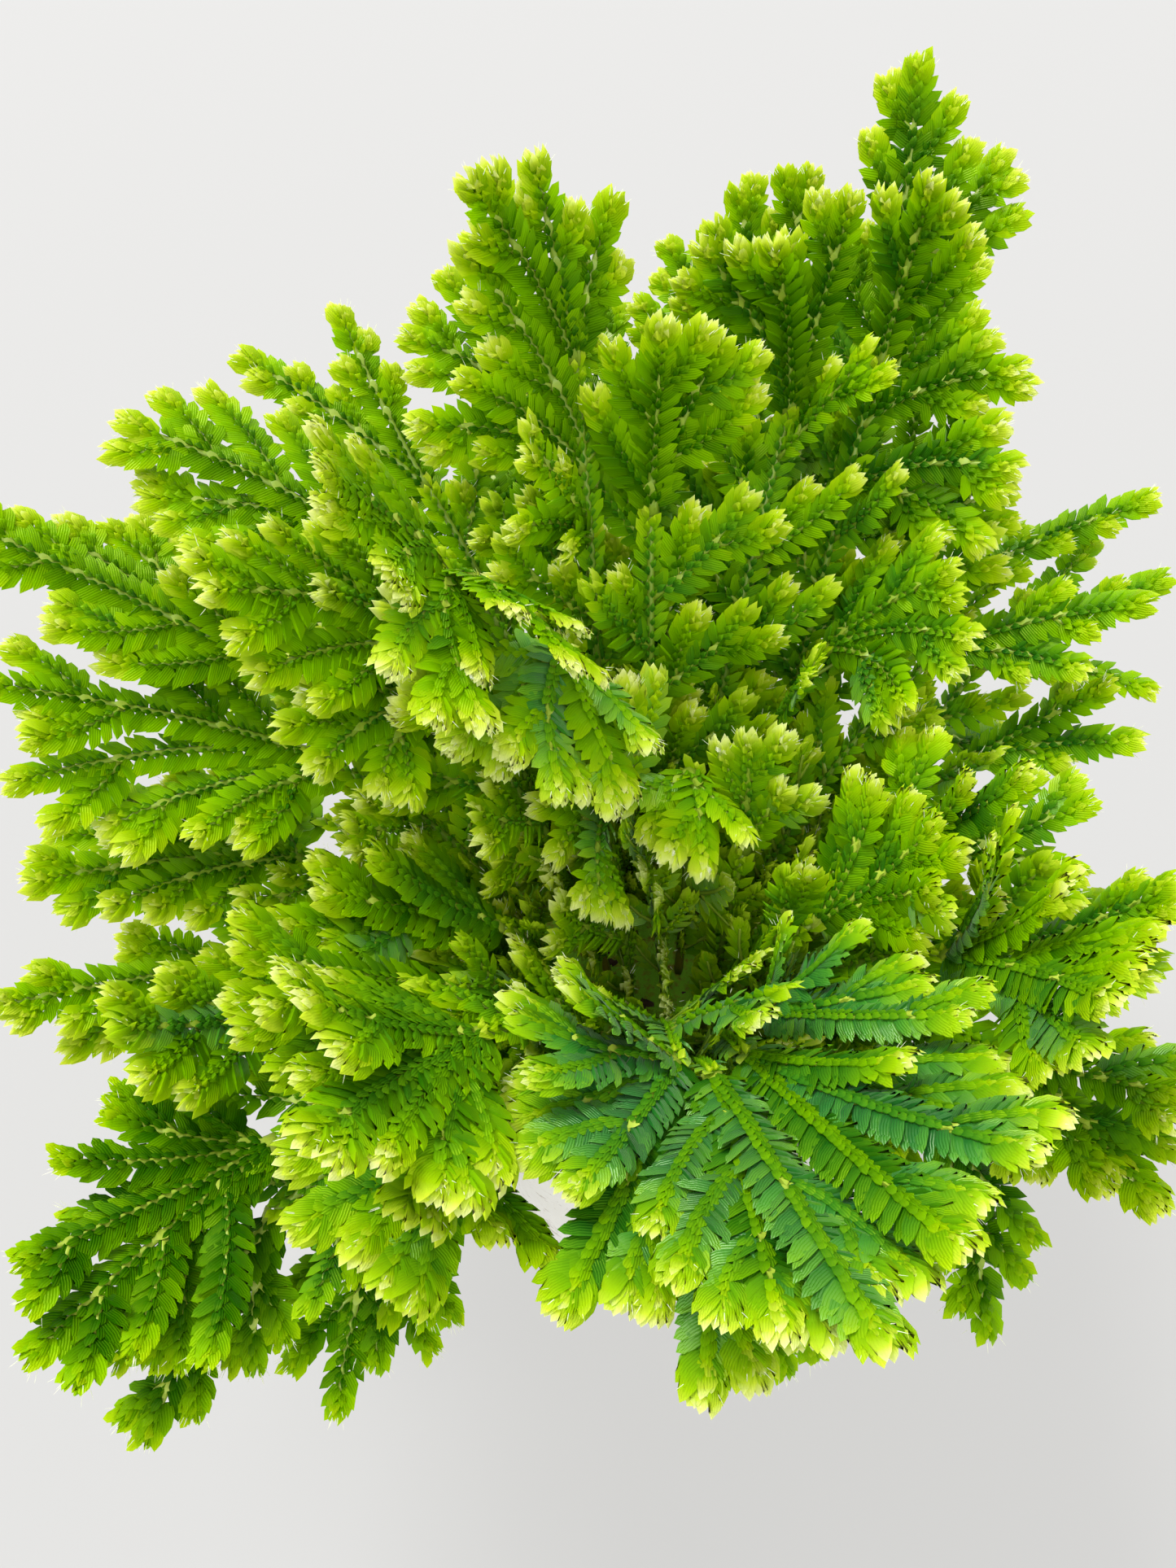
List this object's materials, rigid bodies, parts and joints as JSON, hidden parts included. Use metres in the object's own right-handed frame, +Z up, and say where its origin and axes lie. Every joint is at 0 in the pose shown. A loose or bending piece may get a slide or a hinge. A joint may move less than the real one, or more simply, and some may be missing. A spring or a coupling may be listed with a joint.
{
  "type": "potted spikemoss",
  "caption": "Potted spikemoss: flat forking sprays of small overlapping green leaves with cream growing tips, rising and arching over a plain round nursery pot.",
  "frame": {"origin": "middle of the pot's flat underside", "axes": "+Z up along the pot's axis; -Y towards the plant's lower, open front; +X to its right as seen from the front"},
  "size_m": [0.1964, 0.1913, 0.2037],
  "materials": {
    "foliage": "satin",
    "pot": "satin",
    "soil": "matte"
  },
  "bodies": {
    "root": {"pot": "pot", "soil": "soil", "shoot_back_right_tall": "foliage", "shoot_back_right_inner": "foliage", "shoot_back_right_far": "foliage", "shoot_back_left_tall": "foliage", "shoot_back_left_far": "foliage", "shoot_back_middle": "foliage", "shoot_left_back_far": "foliage", "shoot_left_back": "foliage", "shoot_middle_tall": "foliage", "shoot_left_tall": "foliage", "shoot_middle_droop": "foliage", "shoot_centre_right_low": "foliage", "shoot_centre_left_low": "foliage", "shoot_left_upper": "foliage", "shoot_left_middle": "foliage", "shoot_left_lower": "foliage", "shoot_left_inner": "foliage", "shoot_left_bottom": "foliage", "shoot_front_left_inner": "foliage", "shoot_front_left_middle": "foliage", "shoot_front_left_far": "foliage", "shoot_front_left_near": "foliage", "shoot_front_left_spray": "foliage", "shoot_front_left_hanging": "foliage", "shoot_front_left_under": "foliage", "shoot_front_left_short": "foliage", "shoot_front_fan_left": "foliage", "shoot_front_fan_middle": "foliage", "shoot_front_fan_right": "foliage", "shoot_front_under": "foliage", "shoot_front_right_hanging": "foliage", "shoot_right_near": "foliage", "shoot_right_flat": "foliage", "shoot_right_inner": "foliage", "shoot_right_middle": "foliage", "shoot_right_far": "foliage", "shoot_right_spray": "foliage", "shoot_right_low": "foliage", "shoot_right_back_low": "foliage", "shoot_right_back": "foliage", "shoot_right_back_far": "foliage", "shoot_right_upper": "foliage", "shoot_centre": "foliage", "shoot_back_low_left": "foliage", "shoot_back_low": "foliage", "shoot_back_low_right": "foliage", "shoot_back_hanging": "foliage", "shoot_right_back_wide": "foliage", "shoot_right_back_hanging": "foliage", "shoot_left_back_wide": "foliage", "shoot_left_back_hanging": "foliage", "shoot_back_right_outer": "foliage", "shoot_back_middle_far": "foliage", "shoot_right_hanging": "foliage", "shoot_left_hanging": "foliage"}
  },
  "joints": []
}
